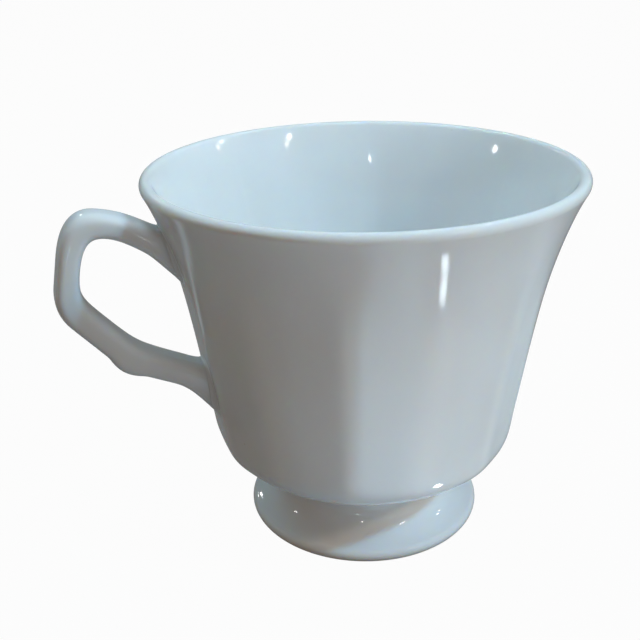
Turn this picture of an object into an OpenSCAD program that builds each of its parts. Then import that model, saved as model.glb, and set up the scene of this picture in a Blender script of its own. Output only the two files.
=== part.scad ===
// A footed porcelain tea cup: a panelled bowl flaring to a round rim, a stuck-on
// pedestal foot and a strap handle with squared bends. The bowl, the foot and the
// handle are formed apart and luted together with slip before the firing.
// The cup stands on z = 0 with its axis on Z, and the handle points along -X.

/* [Rim and bowl] */
// Outer diameter of the rim
rim_d = 90; // [84:1:100]
// Height from the table to the top of the lip
cup_h = 79.4; // [74:0.2:92]
// Thickness of the rounded lip
lip_t = 2.6; // [2:0.1:3.2]
// Thickness of the wall below the lip
wall_t = 3; // [2.4:0.1:4]
// Thickness of the floor above the neck
floor_t = 4; // [3:0.1:6]
// Lean of the wall just under the lip, degrees from upright
rim_flare = 28; // [15:1:40]
// Diameter of the belly, where the wall turns under
belly_d = 68.2; // [60:0.2:74]
// Height of the belly
belly_z = 29; // [26:0.5:36]
// Lean of the wall at the belly, degrees from upright
belly_lean = 9; // [2:0.5:14]

/* [Panels] */
// Number of flat panels round the bowl
panel_count = 14; // [10:2:18]
// Width of the rounded ridge left between two panels at the belly
ridge_w = 2.8; // [1.6:0.1:5]
// Height of the plain round band between the panels and the lip
plain_band = 3.4; // [2:0.2:8]
// Height over which a panel runs out into that band
panel_fade = 22; // [12:1:30]
// Share of a panel's depth that is left at the neck
panel_tuck = 0.4; // [0.2:0.05:1]

/* [Foot] */
// Diameter of the foot
foot_d = 52; // [46:0.5:60]
// Thickness of the foot's rounded edge
foot_edge_t = 2.8; // [2:0.1:4]
// Rise of the foot's top just inside that edge, degrees from level
foot_rise = 14; // [5:1:25]
// Diameter of the neck, where the foot joins the bowl
neck_d = 37; // [30:0.5:42]
// Height of the top of the neck
neck_z = 11.5; // [9:0.5:15]
// Rise of the bowl's underside at the neck, degrees from level
neck_rise = 24; // [15:1:35]
// Width of the ring that the cup stands on
ring_w = 2.4; // [1.5:0.1:4]
// Height of the hollow under the foot
hollow_h = 6; // [3:0.5:7]

/* [Handle] */
// Width of the strap, across the cup's side
strap_w = 7.6; // [6:0.2:10]
// Thickness of the strap
strap_t = 5.1; // [4.4:0.1:6]
// Rounding of the strap's long edges
strap_edge_r = 1.9; // [1:0.1:2.2]
// Depth of the upper root below the lip
upper_root_drop = 11.8; // [10:0.2:18]
// Distance from the upper root down to the lower root
root_span = 29.8; // [24:0.2:36]
// Reach of the upper bend out from its root
upper_bend_out = 9.8; // [7:0.2:14]
// Rise of the upper bend above its root
upper_bend_rise = 5.4; // [3:0.2:8]
// Reach of the top corner out from the upper bend
top_corner_out = 8; // [6:0.1:12]
// Rise of the top corner above the upper bend
top_corner_rise = 1.2; // [0:0.2:3]
// Reach of the grip's foot out from the top corner
grip_out = 2.8; // [0:0.1:5]
// Drop of the grip from the top corner to its foot
grip_drop = 16.2; // [13:0.2:22]
// Reach of the lower bend out from its root
lower_bend_out = 15.6; // [13:0.2:20]
// Rise of the lower bend above its root
lower_bend_rise = 7.4; // [5:0.2:10]
// Length of arm that the upper bend rounds off
upper_bend_l = 4; // [2:0.2:8]
// Length of arm that the top corner rounds off
top_corner_l = 7.4; // [2:0.2:9]
// Length of arm that the grip's foot rounds off
grip_foot_l = 3.2; // [2:0.2:8]
// Length of arm that the lower bend rounds off
lower_bend_l = 2.6; // [2:0.2:8]
// Extra thickness outside the lower bend
elbow_t = 0.7; // [0:0.1:1.5]
// Length of arm on each side of the lower bend that takes the extra thickness
elbow_l = 4.4; // [3:0.2:6]
// Spread of each root up the wall
root_up = 1.6; // [0:0.2:4]
// Spread of each root down the wall
root_down = 6; // [0:0.2:7]
// Length of arm over which a root spreads
root_l = 8; // [4:0.2:9]

/* [Slip joints] */
// Thickness of the fired slip in each joint
slip_t = 0.4; // [0.2:0.1:0.8]
// Spread of the slip past the edge of each joint
slip_spread = 0.5; // [0.2:0.1:1]

/* [Hidden] */

GLAZE = [0.84, 0.87, 0.89];
SLIP = [0.9, 0.89, 0.86];
$fn = 96;
// Steps along each curved stretch of an outline, and round each rounded edge
CURVE_STEPS = 9;
ARC_STEPS = 8;
// Steps between the points where a panel's flat follows the bowl
PANEL_STEPS = 7;
// Steps along a bend of the strap and along a root, and points on each of its edges
BEND_STEPS = 6;
ROOT_STEPS = 4;
EDGE_POINTS = 4;
// Length of a curve's end tangents, as shares of the curve's height
NECK_PULL = 1;
BELLY_PULL = 0.55;
FLARE_PULL = 0.26;
FOOT_PULL = 0.55;
HOLLOW_PULL = 0.7;
// Room that a cutting shape leaves past what it cuts
OVER = 3;
// Length of the strap's raw ends inside the wall, before they are cut to fit it
ROOT_DEPTH = 2;
// Most of an arm that the bend at one end of it may round off
BEND_SHARE = 0.48;

rim_r = rim_d / 2;
lip_r = lip_t / 2;
belly_r = belly_d / 2;
neck_r = neck_d / 2;
foot_r = foot_d / 2;
foot_edge_r = foot_edge_t / 2;
foot_top_z = neck_z - slip_t;
floor_z = neck_z + floor_t;
panel_top = cup_h - lip_t - plain_band;
panel_turn = 360 / panel_count;
// Half the turn that one panel's flat takes, and its depth as a share of the radius
flat_half = panel_turn / 2 - asin(ridge_w / belly_d);
flat_share = 1 - cos(flat_half);

// Directions, and the curves that the outlines are made of
function along(a) = [cos(a), sin(a)];
function unit(v) = v / norm(v);
function left_of(v) = [-v[1], v[0]];
function bend(a, b, c, t) = pow(1 - t, 2) * a + 2 * t * (1 - t) * b + t * t * c;
function cubic(p, t) = (1 - t) * bend(p[0], p[1], p[2], t) + t * bend(p[1], p[2], p[3], t);
function cubic_way(p, t) = unit(bend(p[1], p[2], p[3], t) - bend(p[0], p[1], p[2], t));
function arc(centre, r, from, to) =
    [for (i = [0:ARC_STEPS]) centre + r * along(from + (to - from) * i / ARC_STEPS)];

// The bowl's outer outline as radius and height: under the belly, then up to the lip
lip_c = [rim_r - lip_r, cup_h - lip_r];
wall_end = lip_c + lip_r * along(-rim_flare);
neck_p = [neck_r, neck_z];
belly_p = [belly_r, belly_z];
under_h = belly_z - neck_z;
flare_h = wall_end[1] - belly_z;
UNDER = [
    neck_p,
    neck_p + NECK_PULL * under_h * along(neck_rise),
    belly_p - BELLY_PULL * under_h * along(90 - belly_lean),
    belly_p,
];
FLARE = [
    belly_p,
    belly_p + FLARE_PULL * flare_h * along(90 - belly_lean),
    wall_end - FLARE_PULL * flare_h * along(90 - rim_flare),
    wall_end,
];
// A point of a curve moved out of the wall by a distance
function moved(curve, t, out) = cubic(curve, t) - out * left_of(cubic_way(curve, t));
function outline(grow) = concat(
    [for (i = [0:CURVE_STEPS - 1]) moved(UNDER, i / CURVE_STEPS, grow)],
    [for (i = [0:CURVE_STEPS]) moved(FLARE, i / CURVE_STEPS, grow)]
);
// The same line for a panel, from just below the neck to just above the lip
function panel_line(grow) = concat(
    [for (i = [0:PANEL_STEPS]) moved(UNDER, (i - 0.5) / PANEL_STEPS, grow)],
    [for (i = [0:PANEL_STEPS]) moved(FLARE, (i + 0.5) / PANEL_STEPS, grow)]
);
// The bowl's inner outline, thinning from the wall to the lip
inner_line = concat(
    [for (i = [0:CURVE_STEPS - 1]) moved(UNDER, i / CURVE_STEPS, -wall_t)],
    [for (i = [0:CURVE_STEPS - 1])
        let(t = i / CURVE_STEPS) moved(FLARE, t, -wall_t * (1 - t) - lip_t * t)]
);
function radius_of(line, z) = lookup(z, [for (p = line) [p[1], p[0]]]);

// Depth of a panel's flat below the round bowl: full at the belly, running out under the lip
// and growing shallow towards the neck
function run_out(f) = min(1, f) * (2 - abs(min(1, f)));
function flat_depth(p) =
    let(
        above = run_out((panel_top - p[1]) / panel_fade),
        below = panel_tuck + (1 - panel_tuck) * run_out((p[1] - neck_z) / under_h)
    )
        p[0] * flat_share * min(above, below);

// What is taken off outside one panel
module panel_cut(grow) {
    line = [for (p = panel_line(grow)) p - [flat_depth(p), 0]];
    low = line[0];
    high = line[len(line) - 1];
    rotate([90, 0, 0])
        linear_extrude(height = rim_d * sin(panel_turn / 2), center = true)
            polygon(concat(
                [[low[0], low[1] - OVER]],
                line,
                [[rim_r + 2 * OVER, high[1]], [rim_r + 2 * OVER, low[1] - OVER]]
            ));
}

// A round bowl with its first panels cut flat one after the other, from the one on -X
module panelled(count, grow) {
    difference() {
        if (count > 1)
            panelled(count - 1, grow) children();
        else
            children();
        rotate([0, 0, 180 + (count - 1) * panel_turn])
            panel_cut(grow);
    }
}

// The bowl as if it were solid, grown outward a little, with the handle's panel
module handle_side(grow) {
    line = outline(grow);
    panelled(1, grow)
        rotate_extrude()
            polygon(concat([[0, line[0][1]]], line, [[0, line[len(line) - 1][1]]]));
}

module cup_body() {
    inside = [for (p = inner_line) if (p[1] > floor_z) p];
    color(GLAZE)
        panelled(panel_count, 0)
            rotate_extrude()
                polygon(concat(
                    [[0, neck_z]],
                    outline(0),
                    [for (p = arc(lip_c, lip_r, -rim_flare, 180 - rim_flare)) if (p != wall_end) p],
                    [for (i = [len(inside) - 1:-1:0]) inside[i]],
                    [[radius_of(inner_line, floor_z), floor_z], [0, floor_z]]
                ));
}

module pedestal_foot() {
    edge_c = [foot_r - foot_edge_r, foot_edge_r];
    edge_top = edge_c + foot_edge_r * along(90 - foot_rise);
    flare_w = edge_top[0] - neck_r;
    top = [
        [neck_r, foot_top_z],
        [neck_r, foot_top_z - FOOT_PULL * (foot_top_z - edge_top[1])],
        edge_top + FOOT_PULL * flare_w * along(180 - foot_rise),
        edge_top,
    ];
    ring_in = foot_r - foot_edge_r - ring_w;
    hollow = [
        [ring_in, 0],
        [ring_in, HOLLOW_PULL * hollow_h],
        [HOLLOW_PULL * ring_in, hollow_h],
        [0, hollow_h],
    ];
    color(GLAZE)
        rotate_extrude()
            polygon(concat(
                [[0, foot_top_z]],
                [for (i = [0:CURVE_STEPS - 1]) cubic(top, i / CURVE_STEPS)],
                arc(edge_c, foot_edge_r, 90 - foot_rise, -90),
                [for (i = [0:CURVE_STEPS]) cubic(hollow, i / CURVE_STEPS)]
            ));
}

module foot_slip_seam() {
    color(SLIP)
        translate([0, 0, foot_top_z])
            cylinder(r = neck_r, h = slip_t);
}

// The strap's middle line as distance from the axis and height
function panel_r(z) = let(r = radius_of(outline(0), z)) r - flat_depth([r, z]);
upper_root_z = cup_h - upper_root_drop;
lower_root_z = upper_root_z - root_span;
upper_root = [panel_r(upper_root_z), upper_root_z];
lower_root = [panel_r(lower_root_z), lower_root_z];
upper_bend = upper_root + [upper_bend_out, upper_bend_rise];
top_corner = upper_bend + [top_corner_out, top_corner_rise];
grip_foot = top_corner + [grip_out, -grip_drop];
lower_bend = lower_root + [lower_bend_out, lower_bend_rise];

// Stations along the strap, each a place, a thickness and the way that the thickness runs.
// A root stands in the wall, spreads along it, and has run into the arm at its last station.
function wall_way(z) = unit([panel_r(z + 1) - panel_r(z - 1), 2]);
function root_stations(root, next, side) =
    let(
        way = unit(next - root),
        wall = wall_way(root[1]),
        reach = min(root_l, (1 - BEND_SHARE) * norm(next - root))
    )
        concat(
            [root_station(root + ROOT_DEPTH * left_of(wall), wall, 1, side)],
            [for (i = [0:ROOT_STEPS])
                let(u = i / ROOT_STEPS)
                    root_station(
                        root + u * reach * way, unit((1 - u) * wall + u * left_of(way)), pow(1 - u, 2), side
                    )]
        );
function root_station(place, up, spread, side) =
    [place + spread * (root_up - root_down) / 2 * up, strap_t + spread * (root_up + root_down), side * up];
function bend_stations(before, corner, after, l) =
    let(
        start = corner + min(l, BEND_SHARE * norm(before - corner)) * unit(before - corner),
        end = corner + min(l, BEND_SHARE * norm(after - corner)) * unit(after - corner)
    )
        [for (i = [0:BEND_STEPS])
            let(t = i / BEND_STEPS, way = (1 - t) * (corner - start) + t * (end - corner))
                [bend(start, corner, end, t), strap_t, left_of(unit(way))]];
function reversed(list) = [for (i = [len(list) - 1:-1:0]) list[i]];
upper_stations = root_stations(upper_root, upper_bend, 1);
lower_stations = reversed(root_stations(lower_root, lower_bend, -1));
// A station with the extra thickness that the lower bend gives it
function filled(st) =
    let(near = max(0, 1 - pow(norm(st[0] - lower_bend) / elbow_l, 2)), extra = elbow_t * near * near)
        [st[0] + extra / 2 * st[2], st[1] + extra, st[2]];
strap_stations = concat(
    upper_stations,
    bend_stations(upper_root, upper_bend, top_corner, upper_bend_l),
    bend_stations(upper_bend, top_corner, grip_foot, top_corner_l),
    [for (st = bend_stations(top_corner, grip_foot, lower_bend, grip_foot_l)) filled(st)],
    [for (st = bend_stations(grip_foot, lower_bend, lower_root, lower_bend_l)) filled(st)],
    lower_stations
);

// The strap's section: a flat bar with rounded edges
function strap_section(t, grow) = [
    for (c = [0:3], k = [0:EDGE_POINTS - 1])
        let(
            a = 90 * (c + k / (EDGE_POINTS - 1)),
            across = (c == 0 || c == 3 ? 1 : -1) * (strap_w / 2 - strap_edge_r),
            thick = (c < 2 ? 1 : -1) * (t / 2 - strap_edge_r)
        )
            [across, thick] + (strap_edge_r + grow) * along(a)
];

// The section carried along a run of stations
module strap(stations, grow) {
    last = len(stations) - 1;
    sides = 4 * EDGE_POINTS;
    points = [
        for (st = stations, s = strap_section(st[1], grow))
            let(p = st[0] + s[1] * st[2]) [-p[0], s[0], p[1]]
    ];
    skin = [
        for (i = [0:last - 1], j = [0:sides - 1])
            let(a = i * sides + j, b = i * sides + (j + 1) % sides)
                for (face = [[a, b, b + sides], [a, b + sides, a + sides]]) face
    ];
    ends = [reversed([for (j = [0:sides - 1]) j]), [for (j = [0:sides - 1]) last * sides + j]];
    polyhedron(points, concat(skin, ends));
}

module handle() {
    color(GLAZE)
        difference() {
            strap(strap_stations, 0);
            handle_side(slip_t);
        }
}

// Slip between one root of the handle and the wall
module root_seam(stations) {
    color(SLIP)
        difference() {
            intersection() {
                strap(stations, slip_spread);
                handle_side(slip_t);
            }
            handle_side(0);
        }
}

module upper_handle_slip_seam() {
    root_seam(upper_stations);
}

module lower_handle_slip_seam() {
    root_seam(lower_stations);
}

cup_body();
pedestal_foot();
foot_slip_seam();
handle();
upper_handle_slip_seam();
lower_handle_slip_seam();
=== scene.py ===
"""A footed porcelain tea cup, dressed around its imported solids.

The bowl and the foot are turned shells, the handle is a strap carried along a bent line, and
fired slip fills the joints between them. Lengths are in metres and angles in degrees.
"""

import logging
import math
from dataclasses import dataclass, field
from enum import Enum
from typing import Any, Callable, NamedTuple, Sequence, TypeVar, Union

import bmesh
import bpy
import numpy as np
from mathutils import Matrix, Vector


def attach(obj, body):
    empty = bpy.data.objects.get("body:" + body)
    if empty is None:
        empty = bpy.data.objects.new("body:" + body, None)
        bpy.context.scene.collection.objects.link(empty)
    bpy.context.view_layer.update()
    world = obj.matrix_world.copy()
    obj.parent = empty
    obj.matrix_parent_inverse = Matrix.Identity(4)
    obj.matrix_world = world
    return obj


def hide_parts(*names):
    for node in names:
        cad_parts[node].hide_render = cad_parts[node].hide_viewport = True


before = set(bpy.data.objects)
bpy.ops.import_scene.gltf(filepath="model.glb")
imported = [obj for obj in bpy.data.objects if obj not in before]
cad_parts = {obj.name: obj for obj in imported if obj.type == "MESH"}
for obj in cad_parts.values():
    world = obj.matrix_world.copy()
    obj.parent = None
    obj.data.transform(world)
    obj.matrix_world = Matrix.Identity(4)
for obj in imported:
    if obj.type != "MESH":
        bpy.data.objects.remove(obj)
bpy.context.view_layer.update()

LOG = logging.getLogger("tea_cup")
BODY = "root"
RELIEF = "relief"
RIDGE = "ridge"
UP = "up"
HALF_THICK = "half_thick"
HALF_WIDE = "half_wide"
WELD = 2e-6
FLOOR_GAP = 0.00002
PLAIN_ROUNDING = (0.5, 0.5)

Colour = tuple[float, float, float]
Spot = tuple[float, float, float]
Pair = tuple[float, float]
Flat = np.ndarray
Piece = bpy.types.Object
Finish = bpy.types.Material
Point = TypeVar("Point", np.ndarray, Vector)

WHITE: Colour = (1.0, 1.0, 1.0)
SKY: Colour = (0.585, 0.845, 1.0)
COOL: Colour = (0.62, 0.84, 1.0)
PALE: Colour = (0.92, 0.97, 1.0)
WARM: Colour = (1.0, 0.80, 0.62)


class Slot(Enum):
    """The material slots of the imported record."""

    GLAZE = "glaze"
    SLIP = "slip"


class InputKind(Enum):
    """What an input of a shape's node tree holds."""

    COUNT = "NodeSocketInt"
    NUMBER = "NodeSocketFloat"
    FINISH = "NodeSocketMaterial"


class FieldKind(Enum):
    """What a guide holds at each of its points."""

    NUMBER = "FLOAT"
    VECTOR = "FLOAT_VECTOR"


class Outline(Enum):
    """The outline of a lamp."""

    ROUND = "ELLIPSE"
    SQUARE = "RECTANGLE"


def pick(sockets: Sequence[bpy.types.NodeSocket], name: str) -> bpy.types.NodeSocket:
    """The socket with an identifier, or with a name where no identifier matches."""
    by_key = [s for s in sockets if s.identifier == name]
    return (by_key or [s for s in sockets if s.name == name and s.enabled])[0]


def arithmetic(operation: str, swapped: bool = False) -> Callable[..., "Wire"]:
    """An operator of a wire that adds one Math node, with the other value first where swapped."""
    order = -1 if swapped else 1
    return lambda wire, *others: wire.graph.math(operation, *(wire, *others)[::order])


class Wire:
    """One output of a node, with arithmetic that adds Math nodes."""

    def __init__(self, graph: "Graph", node: bpy.types.Node, output: str | None = None) -> None:
        """Keeps the node and its named output, or its first one if it has any."""
        self.graph = graph
        self.node = node
        first = node.outputs[0] if len(node.outputs) else None
        self.socket = pick(node.outputs, output) if output else first

    __add__ = arithmetic("ADD")
    __radd__ = arithmetic("ADD", swapped=True)
    __sub__ = arithmetic("SUBTRACT")
    __rsub__ = arithmetic("SUBTRACT", swapped=True)
    __mul__ = arithmetic("MULTIPLY")
    __rmul__ = arithmetic("MULTIPLY", swapped=True)
    __truediv__ = arithmetic("DIVIDE")
    __rtruediv__ = arithmetic("DIVIDE", swapped=True)
    __pow__ = arithmetic("POWER")
    __abs__ = arithmetic("ABSOLUTE")

    def also(self, output: str) -> "Wire":
        """Another output of the same node."""
        return Wire(self.graph, self.node, output)

    def math(self, operation: str, *others: "Operand") -> "Wire":
        """This value as the first of a Math node's values."""
        return self.graph.math(operation, self, *others)


Operand = Union[Wire, float, int]


class Graph:
    """A node tree that is written as expressions."""

    def __init__(self, tree: bpy.types.NodeTree) -> None:
        """Starts from an empty tree."""
        self.tree = tree
        tree.nodes.clear()

    def add(
        self,
        kind: str,
        settings: dict[str, Any] | None = None,
        values: dict[str, Any] | None = None,
        out: str | None = None,
    ) -> Wire:
        """Adds a node.

        Args:
            kind: The node's type.
            settings: Its settings, which are set first.
            values: A number, colour or wire for each socket by name or identifier.
            out: The output to return, or the first one.

        Returns:
            The output as a wire.
        """
        node = self.tree.nodes.new(kind)
        for name, setting in (settings or {}).items():
            setattr(node, name, setting)
        for name, value in (values or {}).items():
            socket = pick(node.inputs, name)
            if isinstance(value, Wire):
                self.tree.links.new(value.socket, socket)
            else:
                socket.default_value = value
        return Wire(self, node, out)

    def math(self, operation: str, *values: Operand) -> Wire:
        """One Math node on up to three values."""
        keys = ("Value", "Value_001", "Value_002")
        return self.add("ShaderNodeMath", {"operation": operation}, dict(zip(keys, values)))

    def vector_math(self, operation: str, *values: Any) -> Wire:
        """One Vector Math node on up to three vectors."""
        keys = ("Vector", "Vector_001", "Vector_002")
        return self.add("ShaderNodeVectorMath", {"operation": operation}, dict(zip(keys, values)))

    def mix(self, share: Operand, first: Any, second: Any) -> Wire:
        """A colour that runs from the first to the second as the share goes from 0 to 1."""
        return self.add(
            "ShaderNodeMix",
            {"data_type": "RGBA", "clamp_factor": True},
            {"Factor_Float": share, "A_Color": opaque(first), "B_Color": opaque(second)},
            out="Result_Color",
        )

    def ramp(self, value: Operand, low: float, high: float) -> Wire:
        """A soft step from 0 at the low value to 1 at the high one."""
        return self.add(
            "ShaderNodeMapRange",
            {"interpolation_type": "SMOOTHSTEP", "clamp": True},
            {"Value": value, "From Min": low, "From Max": high},
            out="Result",
        )


def opaque(colour: Any) -> Any:
    """A colour with its alpha of 1, and a wire as it is."""
    return colour if isinstance(colour, Wire) else (*colour, 1.0)


def stand(name: str, data: bpy.types.ID) -> bpy.types.Object:
    """Puts a mesh, a lamp or a camera into the scene at the origin."""
    thing = bpy.data.objects.new(name, data)
    bpy.context.scene.collection.objects.link(thing)
    return thing


@dataclass
class Guide:
    """Points that a shape's node tree follows, with a value or a vector at each."""

    points: list[Spot]
    values: dict[str, list[float]] = field(default_factory=dict)
    vectors: dict[str, list[Spot]] = field(default_factory=dict)

    def mesh(self, name: str) -> bpy.types.Mesh:
        """Makes the points a mesh.

        Args:
            name: The mesh's name.

        Returns:
            A mesh of loose points with their attributes.
        """
        mesh = bpy.data.meshes.new(name)
        mesh.from_pydata(self.points, [], [])
        for key, values in self.values.items():
            mesh.attributes.new(key, FieldKind.NUMBER.value, "POINT").data.foreach_set("value", values)
        for key, vectors in self.vectors.items():
            flat = np.asarray(vectors, dtype=np.float32).ravel()
            mesh.attributes.new(key, FieldKind.VECTOR.value, "POINT").data.foreach_set("vector", flat)
        return mesh


class NodeShape:
    """A Geometry Nodes tree with named inputs that turns a guide into a plain mesh."""

    def __init__(self, name: str, counts: Sequence[str], numbers: Sequence[str]) -> None:
        """Makes the tree's inputs, with a finish as the last one, and its outlet.

        Args:
            name: The tree's name.
            counts: The labels of the inputs that hold whole numbers.
            numbers: The labels of those that hold other numbers.
        """
        tree = bpy.data.node_groups.new(name, "GeometryNodeTree")
        tree.interface.new_socket("Guide", in_out="INPUT", socket_type="NodeSocketGeometry")
        kinds = dict.fromkeys(counts, InputKind.COUNT) | dict.fromkeys(numbers, InputKind.NUMBER)
        kinds["Finish"] = InputKind.FINISH
        self.keys = {
            label: tree.interface.new_socket(label, in_out="INPUT", socket_type=kind.value).identifier
            for label, kind in kinds.items()
        }
        tree.interface.new_socket("Shape", in_out="OUTPUT", socket_type="NodeSocketGeometry")
        self.graph = Graph(tree)
        self.guide = self.graph.add("NodeGroupInput", out="Guide")

    def sample(self, value: Wire, index: Wire, kind: FieldKind) -> Wire:
        """Reads a field of the guide at one of its points."""
        return self.graph.add(
            "GeometryNodeSampleIndex",
            {"data_type": kind.value, "domain": "POINT"},
            {"Geometry": self.guide, "Value": value, "Index": index},
            out="Value",
        )

    def sample_place(self, index: Wire) -> Wire:
        """Reads the place of one of the guide's points."""
        return self.sample(self.graph.add("GeometryNodeInputPosition"), index, FieldKind.VECTOR)

    def sample_named(self, key: str, index: Wire, kind: FieldKind = FieldKind.NUMBER) -> Wire:
        """Reads a named attribute of the guide at one of its points."""
        named = {"data_type": kind.value}
        value = self.graph.add("GeometryNodeInputNamedAttribute", named, {"Name": key}, out="Attribute")
        return self.sample(value, index, kind)

    def sheet(self, across: Wire, along: Wire) -> tuple[Wire, Wire, Wire]:
        """Starts from a flat grid whose points are then set in place.

        Args:
            across: The number of columns.
            along: The number of rows.

        Returns:
            The grid, and each point's column and row.
        """
        graph = self.graph
        counts = {"Vertices X": across, "Vertices Y": along}
        grid = graph.add("GeometryNodeMeshGrid", {}, counts, out="Mesh")
        index = graph.add("GeometryNodeInputIndex")
        column = ((index + 0.5) / along).math("FLOOR")
        return grid, column, index - column * along

    def end(self, shape: Wire) -> None:
        """Welds the shape's seams, and ends the tree in one smooth mesh with its finish."""
        graph = self.graph
        welded = graph.add("GeometryNodeMergeByDistance", {}, {"Geometry": shape, "Distance": WELD})
        smooth = graph.add("GeometryNodeSetShadeSmooth", {}, {"Geometry": welded})
        real = graph.add("GeometryNodeRealizeInstances", {}, {"Geometry": smooth})
        finish = {"Geometry": real, "Material": self.guide.also("Finish")}
        graph.add("NodeGroupOutput", {}, {"Shape": graph.add("GeometryNodeSetMaterial", {}, finish)})

    def make(self, name: str, guide: Guide, inputs: dict[str, Any]) -> Piece:
        """Runs the tree on a guide.

        Args:
            name: The piece's name.
            guide: The points that the shape follows.
            inputs: A value for each of the tree's inputs.

        Returns:
            The piece as a plain mesh at the origin.
        """
        piece = stand(name, guide.mesh(name + "_guide"))
        modifier = piece.modifiers.new("shape", "NODES")
        modifier.node_group = self.graph.tree
        for label, value in inputs.items():
            modifier[self.keys[label]] = value
        depsgraph = bpy.context.evaluated_depsgraph_get()
        mesh = bpy.data.meshes.new_from_object(
            piece.evaluated_get(depsgraph), preserve_all_data_layers=True, depsgraph=depsgraph
        )
        piece.modifiers.remove(modifier)
        piece.data = mesh
        mesh.name = name
        return piece


class LinePoint(NamedTuple):
    """A point of a turned outline, with the share of the panels' relief that it takes."""

    radius: float
    height: float
    relief: float = 0.0


class TurnedShape(NodeShape):
    """A line of radii and heights turned round the axis, with flat panels pressed into it."""

    def __init__(self) -> None:
        """Builds the tree: each point of a grid is set by its turn and its place on the line."""
        roundings = ("Ridge rounding", "Faint rounding")
        super().__init__("turned_shape", ("Rows", "Steps", "Panels"), roundings)
        graph, steps = self.graph, self.guide.also("Steps")
        grid, column, row = self.sheet(steps + 1, self.guide.also("Rows"))
        place = self.sample_place(row)
        radius = graph.add("ShaderNodeSeparateXYZ", {}, {"Vector": place}, out="X")
        relief = self.sample_named(RELIEF, row)
        turn = column / steps * math.tau
        section, ridge = self.panel_section(turn)
        reach = radius * (1 + (section - 1) * relief)
        parts = {
            "X": -1 * turn.math("COSINE") * reach,
            "Y": -1 * turn.math("SINE") * reach,
            "Z": radius.also("Z"),
        }
        spot = graph.add("ShaderNodeCombineXYZ", {}, parts)
        shape = graph.add("GeometryNodeSetPosition", {}, {"Geometry": grid, "Position": spot})
        marked = graph.add(
            "GeometryNodeStoreNamedAttribute",
            {"data_type": FieldKind.NUMBER.value, "domain": "POINT"},
            {"Geometry": shape, "Name": RIDGE, "Value": ridge * relief},
        )
        self.end(marked)

    def panel_section(self, turn: Wire) -> tuple[Wire, Wire]:
        """The bowl's cross-section, as a share of the radius that its clear ridges reach.

        Args:
            turn: The angle round the axis from the middle of the handle's panel, in radians.

        Returns:
            The share, and how close the point is to the crest of a ridge.
        """
        clear = self.guide.also("Ridge rounding")
        half = math.pi / self.guide.also("Panels")
        pitch = 2 * half
        off_middle = abs(turn - pitch * (turn / pitch).math("ROUND"))
        off_ridge = half - off_middle
        apothem = (1 - clear) * half.math("COSINE") + clear
        from_handle = math.pi - abs(turn - math.pi)
        is_faint = (from_handle / pitch).math("FLOOR").math("MODULO", 2.0)
        rounding = clear + (self.guide.also("Faint rounding") - clear) * is_faint
        core = (apothem - rounding) / half.math("COSINE")
        end_x, end_y = core + rounding * half.math("COSINE"), rounding * half.math("SINE")
        round_end = end_y.math("ARCTAN2", end_x)
        chord = core * off_ridge.math("SINE")
        crest = core * off_ridge.math("COSINE") + (rounding * rounding - chord * chord).math("SQRT")
        flat = apothem / off_middle.math("COSINE")
        on_ridge = off_ridge.math("LESS_THAN", round_end)
        nearness = (1 - off_ridge / round_end).math("MAXIMUM", 0.0)
        return flat + (crest - flat) * on_ridge, nearness

    def turn(
        self,
        name: str,
        line: Sequence[LinePoint],
        steps: int,
        finish: Finish,
        panels: int = 1,
        rounding: Pair = PLAIN_ROUNDING,
    ) -> Piece:
        """Turns an outline round the axis.

        Args:
            name: The piece's name.
            line: The outline.
            steps: The number of steps round the axis.
            finish: The piece's material.
            panels: The number of panels.
            rounding: The radius of the ridges between them and of every second ridge, as shares.

        Returns:
            The piece.
        """
        guide = Guide([(p.radius, 0.0, p.height) for p in line], {RELIEF: [p.relief for p in line]})
        inputs = {
            "Rows": len(line),
            "Steps": steps,
            "Panels": panels,
            "Ridge rounding": rounding[0],
            "Faint rounding": rounding[1],
            "Finish": finish,
        }
        return self.make(name, guide, inputs)


class StrapShape(NodeShape):
    """A flat bar with rounded edges carried along stations, closed to a point inside each end."""

    def __init__(self) -> None:
        """Builds the tree: each point of a grid is set by its station and its place on the section."""
        super().__init__("strap_shape", ("Stations", "Sides"), ("Squareness",))
        graph, sides = self.graph, self.guide.also("Sides")
        grid, station, side = self.sheet(self.guide.also("Stations"), sides + 1)
        turn = side / sides * math.tau
        thick = self.bar(turn.math("SINE")) * self.sample_named(HALF_THICK, station)
        wide = self.bar(turn.math("COSINE")) * self.sample_named(HALF_WIDE, station)
        place = self.sample_place(station)
        up = self.sample_named(UP, station, FieldKind.VECTOR)
        rise = graph.add("ShaderNodeVectorMath", {"operation": "SCALE"}, {"Vector": up, "Scale": thick})
        across = graph.add("ShaderNodeCombineXYZ", {}, {"Y": wide})
        spot = graph.vector_math("ADD", graph.vector_math("ADD", place, rise), across)
        self.end(graph.add("GeometryNodeSetPosition", {}, {"Geometry": grid, "Position": spot}))

    def bar(self, wave: Wire) -> Wire:
        """A sine or cosine swelled from a circle towards a rounded bar."""
        return abs(wave) ** (2 / self.guide.also("Squareness")) * wave.math("SIGN")


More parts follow.
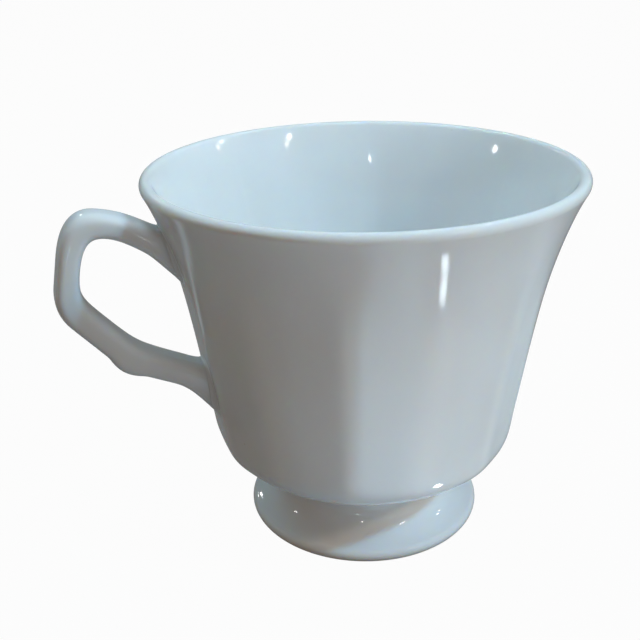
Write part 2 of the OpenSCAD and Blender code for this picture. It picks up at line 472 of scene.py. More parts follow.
@dataclass(frozen=True)
class Glaze:
    """Clear glossy glaze over white porcelain, pooled in hollows, and lighter on ridge crests: partly
    thinner glaze, partly a painted sheen where the ridges catch light.
    """

    name: str
    tint: Colour = (0.760, 0.800, 0.825)
    cloud_tint: Colour = (0.735, 0.770, 0.790)
    # Lighter than the tint: partly thinner glaze on ridge crests, partly a painted sheen where they catch
    # light.
    ridge_glaze_and_sheen_tint: Colour = (0.800, 0.830, 0.845)
    speck_tint: Colour = (0.42, 0.36, 0.30)
    biscuit_tint: Colour = (0.74, 0.69, 0.61)
    gloss: float = 0.06
    ior: float = 1.5
    depth_share: float = 0.5
    depth: float = 0.0026
    depth_tint: Colour = (1.0, 0.72, 0.48)
    bare_below: float | None = None
    bare_edge: float = 0.00012
    bare_sway: float = 0.0003
    bare_rough: float = 0.72
    bare_height: float = 1.5
    clouds: Pair = (34.0, 3.0)
    cloud_span: Pair = (0.35, 0.68)
    cloud_rough: float = 0.035
    grains: Pair = (950.0, 2.0)
    grain_height: float = 0.05
    ripples: Pair = (170.0, 1.0)
    ripple_height: float = 0.8
    ridge_glaze_and_sheen_span: Pair = (0.2, 1.0)
    ridge_glaze_and_sheen_share: float = 0.7
    speck_cells: float = 420.0
    speck_edge: Pair = (0.04, 0.09)
    speck_limit: float = 0.985
    speck_share: float = 0.55
    speck_rough: float = 0.2
    speck_depth: float = 0.3
    bump_share: float = 0.08
    bump_height: float = 0.0004

    def material(self) -> Finish:
        """Builds the finish.

        Returns:
            A material that reads object coordinates and the ridge attribute.
        """
        made = bpy.data.materials.new(self.name)
        made.use_nodes = True
        graph = Graph(made.node_tree)
        place = graph.add("ShaderNodeTexCoord", out="Object")
        cloud, grain, ripple = (
            self.noise(graph, place, *noise) for noise in (self.clouds, self.grains, self.ripples)
        )
        ridge = graph.add("ShaderNodeAttribute", {"attribute_name": RIDGE}, out="Fac")
        colour = graph.mix(graph.ramp(cloud, *self.cloud_span), self.tint, self.cloud_tint)
        # Ridge crests painted lighter: partly thinner glaze, partly a painted sheen standing in for light
        # caught on the ridges.
        on_ridge = graph.ramp(ridge, *self.ridge_glaze_and_sheen_span) * self.ridge_glaze_and_sheen_share
        colour = graph.mix(on_ridge, colour, self.ridge_glaze_and_sheen_tint)
        speck = self.specks(graph, place)
        colour = graph.mix(speck * self.speck_share, colour, self.speck_tint)
        rough = self.gloss + cloud * self.cloud_rough + speck * self.speck_rough
        height = ripple * self.ripple_height + grain * self.grain_height - speck * self.speck_depth
        if self.bare_below is not None:
            bare = self.bare_ring(graph, place, grain)
            colour = graph.mix(bare, colour, graph.mix(grain, self.biscuit_tint, self.tint))
            rough = rough + bare * self.bare_rough
            height = height + bare * grain * self.bare_height
        bump = {"Strength": self.bump_share, "Distance": self.bump_height, "Height": height}
        sockets = {
            "Base Color": colour,
            "Roughness": rough,
            "Normal": graph.add("ShaderNodeBump", {}, bump, out="Normal"),
            "IOR": self.ior,
            "Subsurface Weight": self.depth_share,
            "Subsurface Scale": self.depth,
            "Subsurface Radius": self.depth_tint,
        }
        shader = graph.add("ShaderNodeBsdfPrincipled", {}, sockets)
        graph.add("ShaderNodeOutputMaterial", {}, {"Surface": shader})
        return made

    @staticmethod
    def noise(graph: Graph, place: Wire, scale: float, detail: float) -> Wire:
        """Noise between 0 and 1, with its number of waves to the metre."""
        values = {"Vector": place, "Scale": scale, "Detail": detail}
        return graph.add("ShaderNodeTexNoise", {}, values, out="Fac")

    def specks(self, graph: Graph, place: Wire) -> Wire:
        """A few fine dark specks from the firing.

        Args:
            graph: The material's graph.
            place: The point on the surface.

        Returns:
            1 on a speck and 0 elsewhere.
        """
        values = {"Vector": place, "Scale": self.speck_cells}
        cells = graph.add("ShaderNodeTexVoronoi", {}, values, out="Distance")
        chosen = graph.add("ShaderNodeSeparateColor", {}, {"Color": cells.also("Color")}, out="Red")
        return (1 - graph.ramp(cells, *self.speck_edge)) * chosen.math("GREATER_THAN", self.speck_limit)

    def bare_ring(self, graph: Graph, place: Wire, grain: Wire) -> Wire:
        """1 on the standing ring's bare clay and 0 on the glaze, whose edge the grain sways."""
        height = graph.add("ShaderNodeSeparateXYZ", {}, {"Vector": place}, out="Z")
        edge = (self.bare_below - self.bare_edge, self.bare_below)
        return 1 - graph.ramp(height - grain * self.bare_sway, *edge)


def along(angle: float) -> Flat:
    """The direction at an angle from level, as radius and height."""
    return np.array([math.cos(math.radians(angle)), math.sin(math.radians(angle))])


def unit(v: Flat) -> Flat:
    """A vector made one long."""
    return v / np.linalg.norm(v)


def left_of(v: Flat) -> Flat:
    """The direction to the left of another."""
    return np.array([-v[1], v[0]])


def shares(steps: int) -> list[float]:
    """Even shares from 0 to 1, both among them."""
    return [i / steps for i in range(steps + 1)]


def bend(a: Point, b: Point, c: Point, t: float) -> Point:
    """A point of the bend from a to c round b."""
    return (1 - t) ** 2 * a + 2 * t * (1 - t) * b + t * t * c


def smooth_step(value: float, low: float, high: float) -> float:
    """A soft step from 0 at the low value to 1 at the high one."""
    t = min(1.0, max(0.0, (value - low) / (high - low)))
    return t * t * (3 - 2 * t)


@dataclass(frozen=True)
class Cubic:
    """A cubic curve in radius and height."""

    points: tuple[Flat, Flat, Flat, Flat]

    def at(self, t: float) -> Flat:
        """A point of the curve."""
        p = self.points
        return (1 - t) * bend(p[0], p[1], p[2], t) + t * bend(p[1], p[2], p[3], t)

    def moved(self, t: float, out: float) -> Flat:
        """A point of the curve moved to its right by a distance."""
        p = self.points
        way = unit(bend(p[1], p[2], p[3], t) - bend(p[0], p[1], p[2], t))
        return self.at(t) - out * left_of(way)


def arc(centre: Flat, radius: float, start: float, stop: float, steps: int) -> list[Flat]:
    """Points of an arc between two directions, both ends among them."""
    return [centre + radius * along(start + (stop - start) * i / steps) for i in range(steps + 1)]


@dataclass
class Bowl:
    """The panelled bowl with its flared rim and its floor."""

    turned: TurnedShape
    rim_d: float = 0.090
    cup_h: float = 0.0794
    lip_t: float = 0.0026
    wall_t: float = 0.003
    floor_t: float = 0.004
    rim_flare: float = 28.0
    belly_d: float = 0.0682
    belly_z: float = 0.029
    belly_lean: float = 9.0
    neck_d: float = 0.037
    neck_z: float = 0.0115
    neck_rise: float = 24.0
    panels: int = 14
    ridge_rounding: float = 0.36
    faint_rounding: float = 0.80
    fade_top: float = 0.0752
    fade_bottom: float = 0.0535
    panel_tuck: float = 0.12
    inner_relief: float = 0.45
    floor_round: float = 0.007
    under_pull: float = 0.55
    flare_pull: float = 0.26
    tuck_gap: float = 0.002
    lip_fade: float = 0.010
    floor_fade: float = 0.008
    wall_end_share: float = 0.45
    outer_steps: int = 40
    inner_steps: int = 36
    lip_steps: int = 18
    round_steps: int = 12
    floor_steps: int = 10
    steps: int = 336

    def __post_init__(self) -> None:
        """Works out the curves of the outer wall."""
        lip_r = self.lip_t / 2
        self.lip_c = np.array([self.rim_d / 2 - lip_r, self.cup_h - lip_r])
        wall_end = self.lip_c + lip_r * along(-self.rim_flare)
        neck = np.array([self.neck_d / 2, self.neck_z])
        belly = np.array([self.belly_d / 2, self.belly_z])
        under_h = self.belly_z - self.neck_z
        flare_h = wall_end[1] - self.belly_z
        lean, rim_lean = along(90 - self.belly_lean), along(90 - self.rim_flare)
        neck_out = neck + under_h * along(self.neck_rise)
        self.under = Cubic((neck, neck_out, belly - self.under_pull * under_h * lean, belly))
        pull = self.flare_pull * flare_h
        self.flare = Cubic((belly, belly + pull * lean, wall_end - pull * rim_lean, wall_end))

    def fade(self, height: float) -> float:
        """The share of the panels' relief at a height of the outer wall.

        Args:
            height: The height above the table.

        Returns:
            1 about the belly, less towards the neck and 0 under the lip.
        """
        above = 1 - smooth_step(height, self.fade_bottom, self.fade_top)
        below = smooth_step(height, self.neck_z, self.belly_z - self.tuck_gap)
        return above * (self.panel_tuck + (1 - self.panel_tuck) * below)

    def outer_line(self) -> list[LinePoint]:
        """The outer wall from the neck to the lip."""
        ts = shares(self.outer_steps)
        points = [self.under.at(t) for t in ts[:-1]] + [self.flare.at(t) for t in ts]
        return [LinePoint(p[0], p[1], self.fade(p[1])) for p in points]

    def inner_line(self) -> list[LinePoint]:
        """The inner wall from the lip down, the floor's rounding and the floor.

        Returns:
            The points from just inside the lip to the axis.
        """
        floor_z = self.neck_z + self.floor_t
        ts = shares(self.inner_steps)[-2::-1]
        wall = [self.flare.moved(t, -self.wall_t * (1 - t) - self.lip_t * t) for t in ts]
        wall += [self.under.moved(t, -self.wall_t) for t in ts]
        kept = [p for p in wall if p[1] > floor_z + self.wall_end_share * self.floor_round]
        last, before = kept[-1], kept[-2]
        slope = unit(last - before)
        corner = last + slope * ((floor_z - last[1]) / slope[1])
        floor_start = np.array([corner[0] - self.floor_round, floor_z])
        rounding = [bend(last, corner, floor_start, t) for t in shares(self.round_steps)[1:]]
        line = []
        for p in kept + rounding:
            share = smooth_step(self.lip_c[1] - p[1], 0.0, self.lip_fade)
            share *= smooth_step(p[1] - floor_z, 0.0, self.floor_fade)
            line.append(LinePoint(p[0], p[1], self.inner_relief * share))
        line += [LinePoint(floor_start[0] * (1 - t), floor_z) for t in shares(self.floor_steps)[1:]]
        return line

    def wall_x(self, across: float, height: float) -> float:
        """Where the outer wall stands on the handle's panel.

        Args:
            across: The distance from the middle of the panel.
            height: The height above the table.

        Returns:
            The place along X, which is negative on that side.
        """
        line = self.outer_line()
        ridge_r = float(np.interp(height, [p.height for p in line], [p.radius for p in line]))
        half = math.pi / self.panels
        flat = (1 - self.ridge_rounding) * math.cos(half) + self.ridge_rounding
        turn = math.asin(across / ridge_r)
        share = flat / math.cos(turn)
        reach = ridge_r * (1 + (share - 1) * self.fade(height))
        return -reach * math.cos(turn)

    def build(self, finish: Finish) -> Piece:
        """Makes the bowl.

        Args:
            finish: Its glaze.

        Returns:
            The piece.
        """
        lip = arc(self.lip_c, self.lip_t / 2, -self.rim_flare, 180 - self.rim_flare, self.lip_steps)[1:]
        line = [LinePoint(0.0, self.neck_z), *self.outer_line()]
        line += [LinePoint(p[0], p[1]) for p in lip]
        line += self.inner_line()
        rounding = (self.ridge_rounding, self.faint_rounding)
        return self.turned.turn("bowl", line, self.steps, finish, self.panels, rounding)


@dataclass
class Foot:
    """The pedestal foot, and the slip that fills its joint with the bowl."""

    turned: TurnedShape
    bowl: Bowl
    foot_d: float = 0.052
    edge_t: float = 0.0028
    rise: float = 14.0
    slip_t: float = 0.0004
    ring_w: float = 0.0024
    ring_round: float = 0.0003
    hollow_h: float = 0.006
    fillet: float = 0.0016
    top_pull: float = 0.55
    hollow_pull: float = 0.7
    seam_sink: float = 0.0004
    seam_ends: Pair = (0.055, 0.17)
    top_steps: int = 36
    edge_steps: int = 16
    corner_steps: int = 5
    hollow_steps: int = 32
    seam_steps: int = 10
    steps: int = 240

    def __post_init__(self) -> None:
        """Works out the curves of the top and of the hollow underneath."""
        edge_r = self.edge_t / 2
        neck_r = self.bowl.neck_d / 2
        self.top_z = self.bowl.neck_z - self.slip_t
        self.edge_c = np.array([self.foot_d / 2 - edge_r, edge_r])
        edge_top = self.edge_c + edge_r * along(90 - self.rise)
        self.top = Cubic(
            (
                np.array([neck_r, self.top_z]),
                np.array([neck_r, self.top_z - self.top_pull * (self.top_z - edge_top[1])]),
                edge_top + self.top_pull * (edge_top[0] - neck_r) * along(180 - self.rise),
                edge_top,
            )
        )
        self.ring_in = self.edge_c[0] - self.ring_w
        self.hollow = Cubic(
            (
                np.array([self.ring_in, self.ring_round]),
                np.array([self.ring_in, self.hollow_pull * self.hollow_h]),
                np.array([self.hollow_pull * self.ring_in, self.hollow_h]),
                np.array([0.0, self.hollow_h]),
            )
        )

    def build(self, finish: Finish) -> Piece:
        """Makes the foot.

        Args:
            finish: Its glaze, bare on the standing ring.

        Returns:
            The piece.
        """
        points = [np.array([0.0, self.top_z])]
        points += [self.top.at(t) for t in shares(self.top_steps)[:-1]]
        points += arc(self.edge_c, self.edge_t / 2, 90 - self.rise, -90, self.edge_steps)
        corner = np.array([self.ring_in + self.ring_round, self.ring_round])
        points += arc(corner, self.ring_round, -90, -180, self.corner_steps)
        points += [self.hollow.at(t) for t in shares(self.hollow_steps)[1:]]
        line = [LinePoint(max(p[0], 0.0), p[1]) for p in points]
        return self.turned.turn("foot", line, self.steps, finish)

    def build_seam(self, finish: Finish) -> Piece:
        """Makes the ring of slip and pooled glaze between the foot and the bowl.

        Args:
            finish: Its glaze.

        Returns:
            The piece.
        """
        upper = self.bowl.under.moved(self.seam_ends[0], -self.seam_sink)
        lower = self.top.moved(self.seam_ends[1], self.seam_sink)
        corner = np.array([self.bowl.neck_d / 2, self.top_z + self.slip_t / 2])
        face = [bend(upper, corner, lower, t) for t in shares(self.seam_steps)]
        inner_r = corner[0] - self.fillet
        loop = [*face, np.array([inner_r, lower[1]]), np.array([inner_r, upper[1]]), upper]
        line = [LinePoint(p[0], p[1]) for p in loop]
        return self.turned.turn("foot_seam", line, self.steps, finish)


class Station(NamedTuple):
    """A place on the strap, its thickness there and the way that the thickness runs."""

    place: Flat
    thick: float
    up: Flat


@dataclass
class Handle:
    """The strap handle, and the slip that fills the joints of its two roots."""

    shape: StrapShape
    bowl: Bowl
    strap_w: float = 0.0076
    strap_t: float = 0.0051
    upper_root_drop: float = 0.0118
    root_span: float = 0.0298
    upper_bend: Pair = (0.0098, 0.0054)
    top_corner: Pair = (0.0075, 0.0012)
    grip: Pair = (0.0031, -0.0162)
    lower_bend: Pair = (0.0156, 0.0074)
    upper_bend_l: float = 0.0040
    top_corner_l: float = 0.0074
    grip_foot_l: float = 0.0032
    lower_bend_l: float = 0.0026
    elbow_t: float = 0.0007
    elbow_l: float = 0.0044
    root_up: float = 0.0016
    root_down: float = 0.0060
    root_l: float = 0.0080
    root_curve: float = 2.6
    root_depth: float = 0.0013
    bend_share: float = 0.48
    squareness: float = 3.3
    sides: int = 72
    root_steps: int = 14
    bend_steps: int = 16
    longest_step: float = 0.0006
    inside_ease: float = 0.0038
    inside_trim: float = 0.0008
    inside_fill: float = 0.0003
    fill_start: Pair = (-0.002, 0.004)
    trim_start: Pair = (0.004, 0.012)
    ease_start: Pair = (0.5, 3.0)
    slope_step: float = 0.001
    seam_w: float = 0.0011
    seam_lift: float = 0.00004
    toe_sink: float = 0.00006
    seam_depth: float = 0.0006
    seam_steps: int = 8

    def __post_init__(self) -> None:
        """Works out the corners of the strap's middle line, as distance from the axis and height."""
        upper_z = self.bowl.cup_h - self.upper_root_drop
        self.upper_root = self.on_wall(upper_z)
        self.lower_root = self.on_wall(upper_z - self.root_span)
        self.upper_bend_p = self.upper_root + np.array(self.upper_bend)
        self.top_corner_p = self.upper_bend_p + np.array(self.top_corner)
        self.grip_foot_p = self.top_corner_p + np.array(self.grip)
        self.lower_bend_p = self.lower_root + np.array(self.lower_bend)

    def on_wall(self, height: float) -> Flat:
        """The point of the wall at a height, in the middle of the handle's panel."""
        return np.array([-self.bowl.wall_x(0.0, height), height])

    def root_station(self, root: Flat, following: Flat, u: float) -> Station:
        """A station of a root.

        Args:
            root: The point of the wall that the root stands on.
            following: The next corner of the middle line.
            u: 0 on the wall, 1 where the root has run into the arm, and below 0 inside the wall.

        Returns:
            The station, with its thickness running up.
        """
        span = float(np.linalg.norm(following - root))
        reach = min(self.root_l, (1 - self.bend_share) * span)
        way = unit(following - root)
        wall = unit(self.on_wall(root[1] + self.slope_step) - self.on_wall(root[1] - self.slope_step))
        u_out = max(u, 0.0)
        up = unit((1 - u_out) * wall + u_out * left_of(way))
        spread = (1 - u_out) ** self.root_curve
        inward = left_of(wall) * reach * min(u, 0.0)
        place = root + u_out * reach * way - inward + spread * (self.root_up - self.root_down) / 2 * up
        return Station(place, self.strap_t + spread * (self.root_up + self.root_down), up)

    def root_stations(self, root: Flat, following: Flat) -> list[Station]:
        """The stations of a root from inside the wall to its arm."""
        us = [-self.root_depth / self.root_l, *shares(self.root_steps)]
        return [self.root_station(root, following, u) for u in us]

    def bend_stations(self, before: Flat, corner: Flat, after: Flat, length: float) -> list[Station]:
        """The stations of a bend.

        Args:
            before: The corner before it.
            corner: Its own corner.
            after: The corner after it.
            length: The length of arm that it rounds off.

        Returns:
            The stations in order.
        """
        arms = [before - corner, after - corner]
        start, end = (corner + min(length, self.bend_share * np.linalg.norm(a)) * unit(a) for a in arms)
        made = []
        for t in shares(self.bend_steps):
            way = unit((1 - t) * (corner - start) + t * (end - corner))
            made.append(Station(bend(start, corner, end, t), self.strap_t, left_of(way)))
        return made

    def filled(self, station: Station) -> Station:
        """A station with the extra thickness that the outside of the lower bend gives it."""
        off = float(np.linalg.norm(station.place - self.lower_bend_p)) / self.elbow_l
        extra = self.elbow_t * max(0.0, 1 - off * off) ** 2
        return Station(station.place + extra / 2 * station.up, station.thick + extra, station.up)

    def stations(self) -> list[Station]:
        """All the stations from the upper root round to the lower one."""
        lower = self.root_stations(self.lower_root, self.lower_bend_p)
        corners = [self.upper_root, self.upper_bend_p, self.top_corner_p]
        corners += [self.grip_foot_p, self.lower_bend_p, self.lower_root]
        lengths = [self.upper_bend_l, self.top_corner_l, self.grip_foot_l, self.lower_bend_l]
        made = self.root_stations(self.upper_root, self.upper_bend_p)
        for i, length in enumerate(lengths):
            made += self.bend_stations(corners[i], corners[i + 1], corners[i + 2], length)
        made += [Station(s.place, s.thick, -s.up) for s in reversed(lower)]
        return self.eased([self.filled(s) for s in self.filled_in(made)])

    def filled_in(self, stations: Sequence[Station]) -> list[Station]:
        """Puts stations between those that stand far apart.

        Args:
            stations: The stations in order.

        Returns:
            The same stations with others along the straight arms.
        """
        made = [stations[0]]
        for a, b in zip(stations, stations[1:]):
            steps = max(1, math.ceil(float(np.linalg.norm(b.place - a.place)) / self.longest_step))
            for t in shares(steps)[1:]:
                thick = (1 - t) * a.thick + t * b.thick
                up = unit((1 - t) * a.up + t * b.up)
                made.append(Station((1 - t) * a.place + t * b.place, thick, up))
        return made

    def eased(self, stations: Sequence[Station]) -> list[Station]:
        """Rounds the inside of the bends, as a thumb does in soft clay.

        Args:
            stations: The stations in order.

        Returns:
            The stations with their inner edges moved onto a smooth line.
        """
        places = np.array([s.place for s in stations])
        outer = np.array([s.place + s.thick / 2 * s.up for s in stations])
        run = np.concatenate([[0.0], np.cumsum(np.linalg.norm(np.diff(places, axis=0), axis=1))])
        spacing = np.gradient(run)
        from_end = np.minimum(run, run[-1] - run)
        grip_end = run[np.argmin(np.linalg.norm(places - self.grip_foot_p, axis=1))]
        inner = []
        for station, at, off in zip(stations, run, from_end):
            below = smooth_step(at, *(grip_end + gap for gap in self.fill_start))
            trim = (1 - below) * self.inside_trim - below * self.inside_fill
            half = station.thick / 2 - trim * smooth_step(off, *self.trim_start)
            inner.append(station.place - half * station.up)
        inner = np.array(inner)
        made = []
        for i in range(len(stations)):
            weight = np.exp(-0.5 * ((run - run[i]) / self.inside_ease) ** 2) * spacing
            smooth = (weight[:, None] * inner).sum(axis=0) / weight.sum()
            share = smooth_step(from_end[i], *(k * self.inside_ease for k in self.ease_start))
            edge = (1 - share) * inner[i] + share * smooth
            across = outer[i] - edge
            made.append(Station((outer[i] + edge) / 2, float(np.linalg.norm(across)), unit(across)))
        return made

    def build(self, finish: Finish) -> Piece:
        """Makes the strap.

        Args:
            finish: Its glaze.

        Returns:
            The piece.
        """
        stations = self.stations()
        stations = [stations[0], *stations, stations[-1]]
        shut = {0, len(stations) - 1}
        guide = Guide(
            [(-s.place[0], 0.0, s.place[1]) for s in stations],
            {
                HALF_THICK: [0.0 if i in shut else s.thick / 2 for i, s in enumerate(stations)],
                HALF_WIDE: [0.0 if i in shut else self.strap_w / 2 for i in range(len(stations))],
            },
            {UP: [(-s.up[0], 0.0, s.up[1]) for s in stations]},
        )
        inputs = {
            "Stations": len(stations),
            "Sides": self.sides,
            "Squareness": self.squareness,
            "Finish": finish,
        }
        return self.shape.make("handle_strap", guide, inputs)

    def strap_point(self, station: Station, turn: float, grow: float) -> Vector:
        """A point of the strap's surface at a station.

        Args:
            station: The station.
            turn: The point's place round the section, in radians.
            grow: How far the section is grown.

        Returns:
            The point in the cup's frame.
        """
        sine, cosine = math.sin(turn), math.cos(turn)
        power = 2 / self.squareness
        thick = math.copysign(abs(sine) ** power, sine) * (station.thick / 2 + grow)
        wide = math.copysign(abs(cosine) ** power, cosine) * (self.strap_w / 2 + grow)
        at = station.place + thick * station.up
        return Vector((-at[0], wide, at[1]))

    def build_seam(self, name: str, root: Flat, following: Flat, finish: Finish) -> Piece:
        """Makes the skirt of slip round a root.

        Args:
            name: The piece's name.
            root: The point of the wall that the root stands on.
            following: The next corner of the strap's middle line.
            finish: Its glaze.

        Returns:
            The piece.
        """
        low = self.root_station(root, following, 0.0)
        high = self.root_station(root, following, self.seam_w / self.root_l)
        loops = []
        for i in range(self.sides):
            turn = math.tau * i / self.sides
            top = self.strap_point(high, turn, self.seam_lift)
            corner = self.on_bowl(self.strap_point(low, turn, 0.0), 0.0)
            hem = self.strap_point(low, turn, self.seam_w)
            toe, buried = (self.on_bowl(hem, sink) for sink in (self.toe_sink, self.seam_depth))
            face = [bend(top, corner, toe, t) for t in shares(self.seam_steps)]
            loops.append([*face, buried, self.strap_point(high, turn, -self.seam_depth)])
        return ring_of_loops(name, loops, finish)

    def on_bowl(self, point: Vector, sink: float) -> Vector:
        """The point moved along X onto the bowl's wall, or sunk into it."""
        return Vector((self.bowl.wall_x(point.y, point.z) + sink, point.y, point.z))


def ring_of_loops(name: str, loops: Sequence[Sequence[Vector]], finish: Finish) -> Piece:
    """Joins closed loops into a closed ring.

    Args:
        name: The piece's name.
        loops: The loops in order, each with the same number of points.
        finish: The piece's material.

    Returns:
        The piece.
    """
    rows, columns = len(loops[0]), len(loops)
    shell = bmesh.new()
    verts = [[shell.verts.new(p) for p in loop] for loop in loops]
    for i in range(columns):
        here, there = verts[i], verts[(i + 1) % columns]
        for j in range(rows):
            k = (j + 1) % rows
            shell.faces.new((here[j], there[j], there[k], here[k])).smooth = True
    bmesh.ops.recalc_face_normals(shell, faces=shell.faces)
    mesh = bpy.data.meshes.new(name)
    shell.to_mesh(mesh)
    shell.free()
    mesh.materials.append(finish)
    return stand(name, mesh)


def settle(piece: Piece, node: str) -> None:
    """Lets a piece stand for its CAD solid and ride on the cup.

    Args:
        piece: The piece.
        node: The solid that it stands for.
    """
    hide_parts(node)
    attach(piece, BODY)
    LOG.info("%s stands for %s: %d faces", piece.name, node, len(piece.data.polygons))


@dataclass(frozen=True)
class PhotoCamera:
    """The camera, at the place and angle that the photograph was taken from."""

    place: Spot = (-0.06704, -0.16933, 0.12510)
    forward: Spot = (0.2926, 0.8676, -0.4020)
    roll: float = -1.253
    lens: float = 51.3
    sensor: float = 36.0
    clip: Pair = (0.005, 50.0)

    def build(self) -> None:
        """Makes the camera the scene's own."""
        data = bpy.data.cameras.new("photo_camera")
        data.lens, data.sensor_width = self.lens, self.sensor
        data.clip_start, data.clip_end = self.clip
        camera = stand("photo_camera", data)
        forward = Vector(self.forward).normalized()
        right = forward.cross(Vector((0, 0, 1))).normalized()
        up = right.cross(forward)
        turn = math.radians(self.roll)
        side = math.cos(turn) * right + math.sin(turn) * up
        top = math.cos(turn) * up - math.sin(turn) * right
        axes = Matrix((side, top, -forward)).transposed()
        camera.matrix_world = Matrix.Translation(self.place) @ axes.to_4x4()
        bpy.context.scene.camera = camera


@dataclass(frozen=True)
class Lamp:
    """A soft lamp that the camera doesn't see, round unless its shape says otherwise."""

    name: str
    place: Spot
    size: Pair
    power: float
    tint: Colour = WHITE
    aim: Spot = (0.0, 0.0, 0.045)
    in_gloss: bool = False
    shape: Outline = Outline.ROUND
    spread: float = math.pi

    @classmethod
    def level(cls, name: str, place: Spot, size: Pair, power: float, tint: Colour, **more: Any) -> "Lamp":
        """A lamp that lies level and shines up."""
        return cls(name, place, size, power, tint, (place[0], place[1], 1.0), **more)

    @classmethod
    def spark(cls, name: str, place: Spot, warm: bool = False) -> "Lamp":
        """A small far lamp that the glaze mirrors as a glint."""
        size, power, tint = (0.036, 0.09, WARM) if warm else (0.045, 0.16, WHITE)
        return cls(name, place, (size, size), power, tint, in_gloss=True)

    def build(self) -> None:
        """Hangs the lamp and turns it to its aim."""
        data = bpy.data.lights.new(self.name, "AREA")
        data.shape, data.energy, data.color = self.shape.value, self.power, self.tint
        data.size, data.size_y = self.size
        data.spread = self.spread
        lamp = stand(self.name, data)
        lamp.location = self.place
        lamp.rotation_mode = "QUATERNION"
        lamp.rotation_quaternion = (Vector(self.aim) - Vector(self.place)).to_track_quat("-Z", "Y")
        lamp.visible_camera = False
        lamp.visible_glossy = self.in_gloss


@dataclass(frozen=True)
class Card:
    """A bright card that lies level and throws light up, softer towards its edges."""

    name: str
    centre: Pair
    size: Pair
    glow: float
    tint: Colour = WHITE
    edge: float = 0.012
    height: float = 0.001
    shape: Outline = Outline.SQUARE
    layers: int = 4
    layer_gap: float = 0.0001

    def lamps(self) -> list[Lamp]:
        """Makes the card of lamps that lie one over the other.

        Returns:
            The lamps, from the widest to the narrowest.
        """
        made = []
        for i in range(self.layers):
            grow = self.edge * (1 - 2 * i / max(1, self.layers - 1))
            size = (self.size[0] + grow, self.size[1] + grow)
            power = math.pi * size[0] * size[1] * self.glow / self.layers
            place = (*self.centre, self.height + self.layer_gap * i)
            looks = {"in_gloss": True, "shape": self.shape}
            made.append(Lamp.level(f"{self.name}_{i}", place, size, power, self.tint, **looks))
        return made


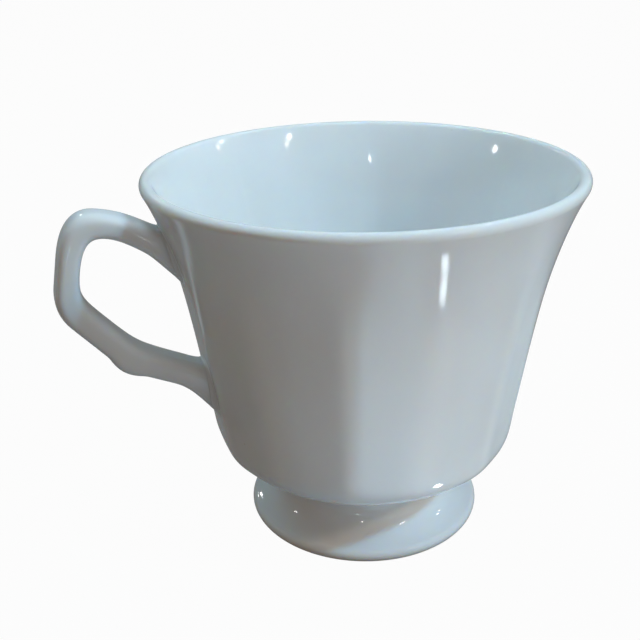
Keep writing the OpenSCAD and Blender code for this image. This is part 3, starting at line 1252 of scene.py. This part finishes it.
@dataclass
class Studio:
    """A pale floor, a white surround and soft lamps."""

    floor_size: float = 8.0
    floor_tint: Colour = (0.20, 0.20, 0.20)
    floor_white: float = 0.97
    echo: float = 0.2
    ambient: Colour = (0.200, 0.108, 0.045)
    lamps: tuple[Lamp, ...] = (
        Lamp("window", (0.490, -0.455, 0.668), (0.08, 0.08), 3.65, (0.37, 0.73, 1.0)),
        Lamp("warm_window", (0.561, -0.520, 0.554), (0.08, 0.08), 1.30, (1.0, 0.82, 0.60)),
        Lamp("ceiling", (0.0, 0.0, 0.945), (0.50, 0.50), 3.2, SKY),
        Lamp("mouth_beam", (0.0, 0.0, 0.500), (0.02, 0.02), 0.0066, SKY, spread=math.radians(16)),
        Lamp("back_fill", (-0.428, 0.540, 0.6235), (0.5, 0.5), 1.6, (0.354, 0.812, 1.0)),
        Lamp("front_fill", (0.720, -0.908, 0.356), (0.6, 0.6), 0.75, (0.821, 1.0, 0.982)),
        Lamp.level(
            "table_bounce", (0.0180, -0.1039, 0.001), (0.024, 0.024), 0.0235, (1.0, 0.89, 0.887)
        ),
        Lamp.level(
            "belly_spot", (0.0155, -0.0400, 0.001), (0.004, 0.005), 0.0016, (0.86, 0.95, 1.0),
            in_gloss=True,
        ),
        Lamp(
            "arm_spot", (-0.0198, -0.1588, 0.0282), (0.0014, 0.020), 0.0007, PALE,
            aim=(-0.045, -0.004, 0.070), in_gloss=True,
        ),
        Lamp(
            "grip_spot", (-0.0779, -0.1491, 0.0276), (0.030, 0.0028), 0.0022, PALE,
            aim=(-0.060, -0.004, 0.069), in_gloss=True,
        ),
        Lamp.spark("right_spark", (0.745, -0.119, 0.526)),
        Lamp.spark("right_warm_spark", (0.780, -0.108, 0.460), warm=True),
        Lamp.spark("front_spark", (0.350, -0.594, 0.608)),
        Lamp.spark("front_warm_spark", (0.387, -0.614, 0.554), warm=True),
        Lamp.spark("left_front_spark", (-0.322, -0.720, 0.423)),
        Lamp.spark("left_spark", (-0.720, 0.311, 0.460)),
        Lamp.spark("back_right_spark", (0.459, 0.207, 0.747)),
        Lamp.spark("back_left_spark", (-0.167, 0.777, 0.440)),
    )
    cards: tuple[Card, ...] = (
        Card("front_card", (-0.0071, -0.0778), (0.036, 0.066), 1.2, (0.57, 0.815, 1.0)),
        Card("right_card", (0.0880, 0.0050), (0.085, 0.070), 0.4, COOL, edge=0.020),
        Card("left_card", (-0.0940, 0.0760), (0.050, 0.015), 0.55, COOL, edge=0.008),
        Card(
            "front_glint", (0.0157, -0.0648), (0.0042, 0.0011), 19.0, (0.80, 0.93, 1.0),
            edge=0.0008, height=0.030, shape=Outline.ROUND,
        ),
    )

    def build(self) -> None:
        """Sets up the floor, the surround and the lamps."""
        bpy.context.scene.view_settings.view_transform = "Standard"
        self.build_floor()
        self.build_surround()
        for lamp in [*self.lamps, *(lamp for card in self.cards for lamp in card.lamps())]:
            lamp.build()
            LOG.info("lamp %s of %.4f W", lamp.name, lamp.power)

    def whiten(self, graph: Graph, plain: Wire, white: str, outlet: str, share: float = 1.0) -> None:
        """Ends a tree in a shader that looks white to the camera, and a dimmer white to gloss.

        Args:
            graph: The tree of the floor's material or of the world.
            plain: The shader that all other rays meet.
            white: The type of the white shader.
            outlet: The type of the tree's last node.
            share: How much of the white is mixed in.
        """
        path = graph.add("ShaderNodeLightPath", out="Is Camera Ray")
        gloss = path.also("Is Glossy Ray")
        seen = path.math("MAXIMUM", gloss.math("MAXIMUM", path.also("Is Transmission Ray")))
        glow = graph.add(white, {}, {"Color": opaque(WHITE), "Strength": 1 - gloss * (1 - self.echo)})
        shaders = {"Fac": seen * share, "Shader": plain, "Shader_001": glow}
        graph.add(outlet, {}, {"Surface": graph.add("ShaderNodeMixShader", {}, shaders)})

    def build_floor(self) -> None:
        """Lays the floor just under the standing ring."""
        half = self.floor_size / 2
        corners = [(-half, -half), (half, -half), (half, half), (-half, half)]
        mesh = bpy.data.meshes.new("floor")
        mesh.from_pydata([(x, y, -FLOOR_GAP) for x, y in corners], [], [(0, 1, 2, 3)])
        made = bpy.data.materials.new("pale_floor")
        made.use_nodes = True
        graph = Graph(made.node_tree)
        matte = graph.add("ShaderNodeBsdfDiffuse", {}, {"Color": opaque(self.floor_tint)})
        self.whiten(graph, matte, "ShaderNodeEmission", "ShaderNodeOutputMaterial", self.floor_white)
        mesh.materials.append(made)
        floor = stand("floor", mesh)

    def build_surround(self) -> None:
        """Gives the world a dim light and a white look."""
        world = bpy.data.worlds.new("surround")
        world.use_nodes = True
        bpy.context.scene.world = world
        graph = Graph(world.node_tree)
        dim = graph.add("ShaderNodeBackground", {}, {"Color": opaque(self.ambient), "Strength": 1.0})
        self.whiten(graph, dim, "ShaderNodeBackground", "ShaderNodeOutputWorld")


def main() -> None:
    """Builds the camera, the cup's pieces and the studio in order."""
    logging.basicConfig(level=logging.INFO, format="%(message)s")
    PhotoCamera().build()
    glaze = Glaze("porcelain_glaze").material()
    # The foot's tints are painted lighter and bluer than the bowl's: painted light standing in for more
    # light on the foot's lit top. The bare standing ring is the real clay.
    foot_glaze_painted_light = Glaze(
        "foot_glaze_painted_light", tint=(0.81, 0.87, 0.92), cloud_tint=(0.785, 0.84, 0.885), bare_below=0.0006
    ).material()
    seam_glaze = Glaze("pooled_glaze", tint=(0.735, 0.785, 0.81), depth_share=0.0).material()
    turned, strap = TurnedShape(), StrapShape()
    bowl = Bowl(turned)
    foot = Foot(turned, bowl)
    handle = Handle(strap, bowl)
    settle(bowl.build(glaze), "cup_body")
    settle(foot.build(foot_glaze_painted_light), "pedestal_foot")
    settle(foot.build_seam(seam_glaze), "foot_slip_seam")
    settle(handle.build(glaze), "handle")
    roots = {
        "upper": (handle.upper_root, handle.upper_bend_p),
        "lower": (handle.lower_root, handle.lower_bend_p),
    }
    for side, (root, following) in roots.items():
        seam = handle.build_seam(f"{side}_root_seam", root, following, seam_glaze)
        settle(seam, f"{side}_handle_slip_seam")
    Studio().build()


if __name__ == "__main__":
    main()
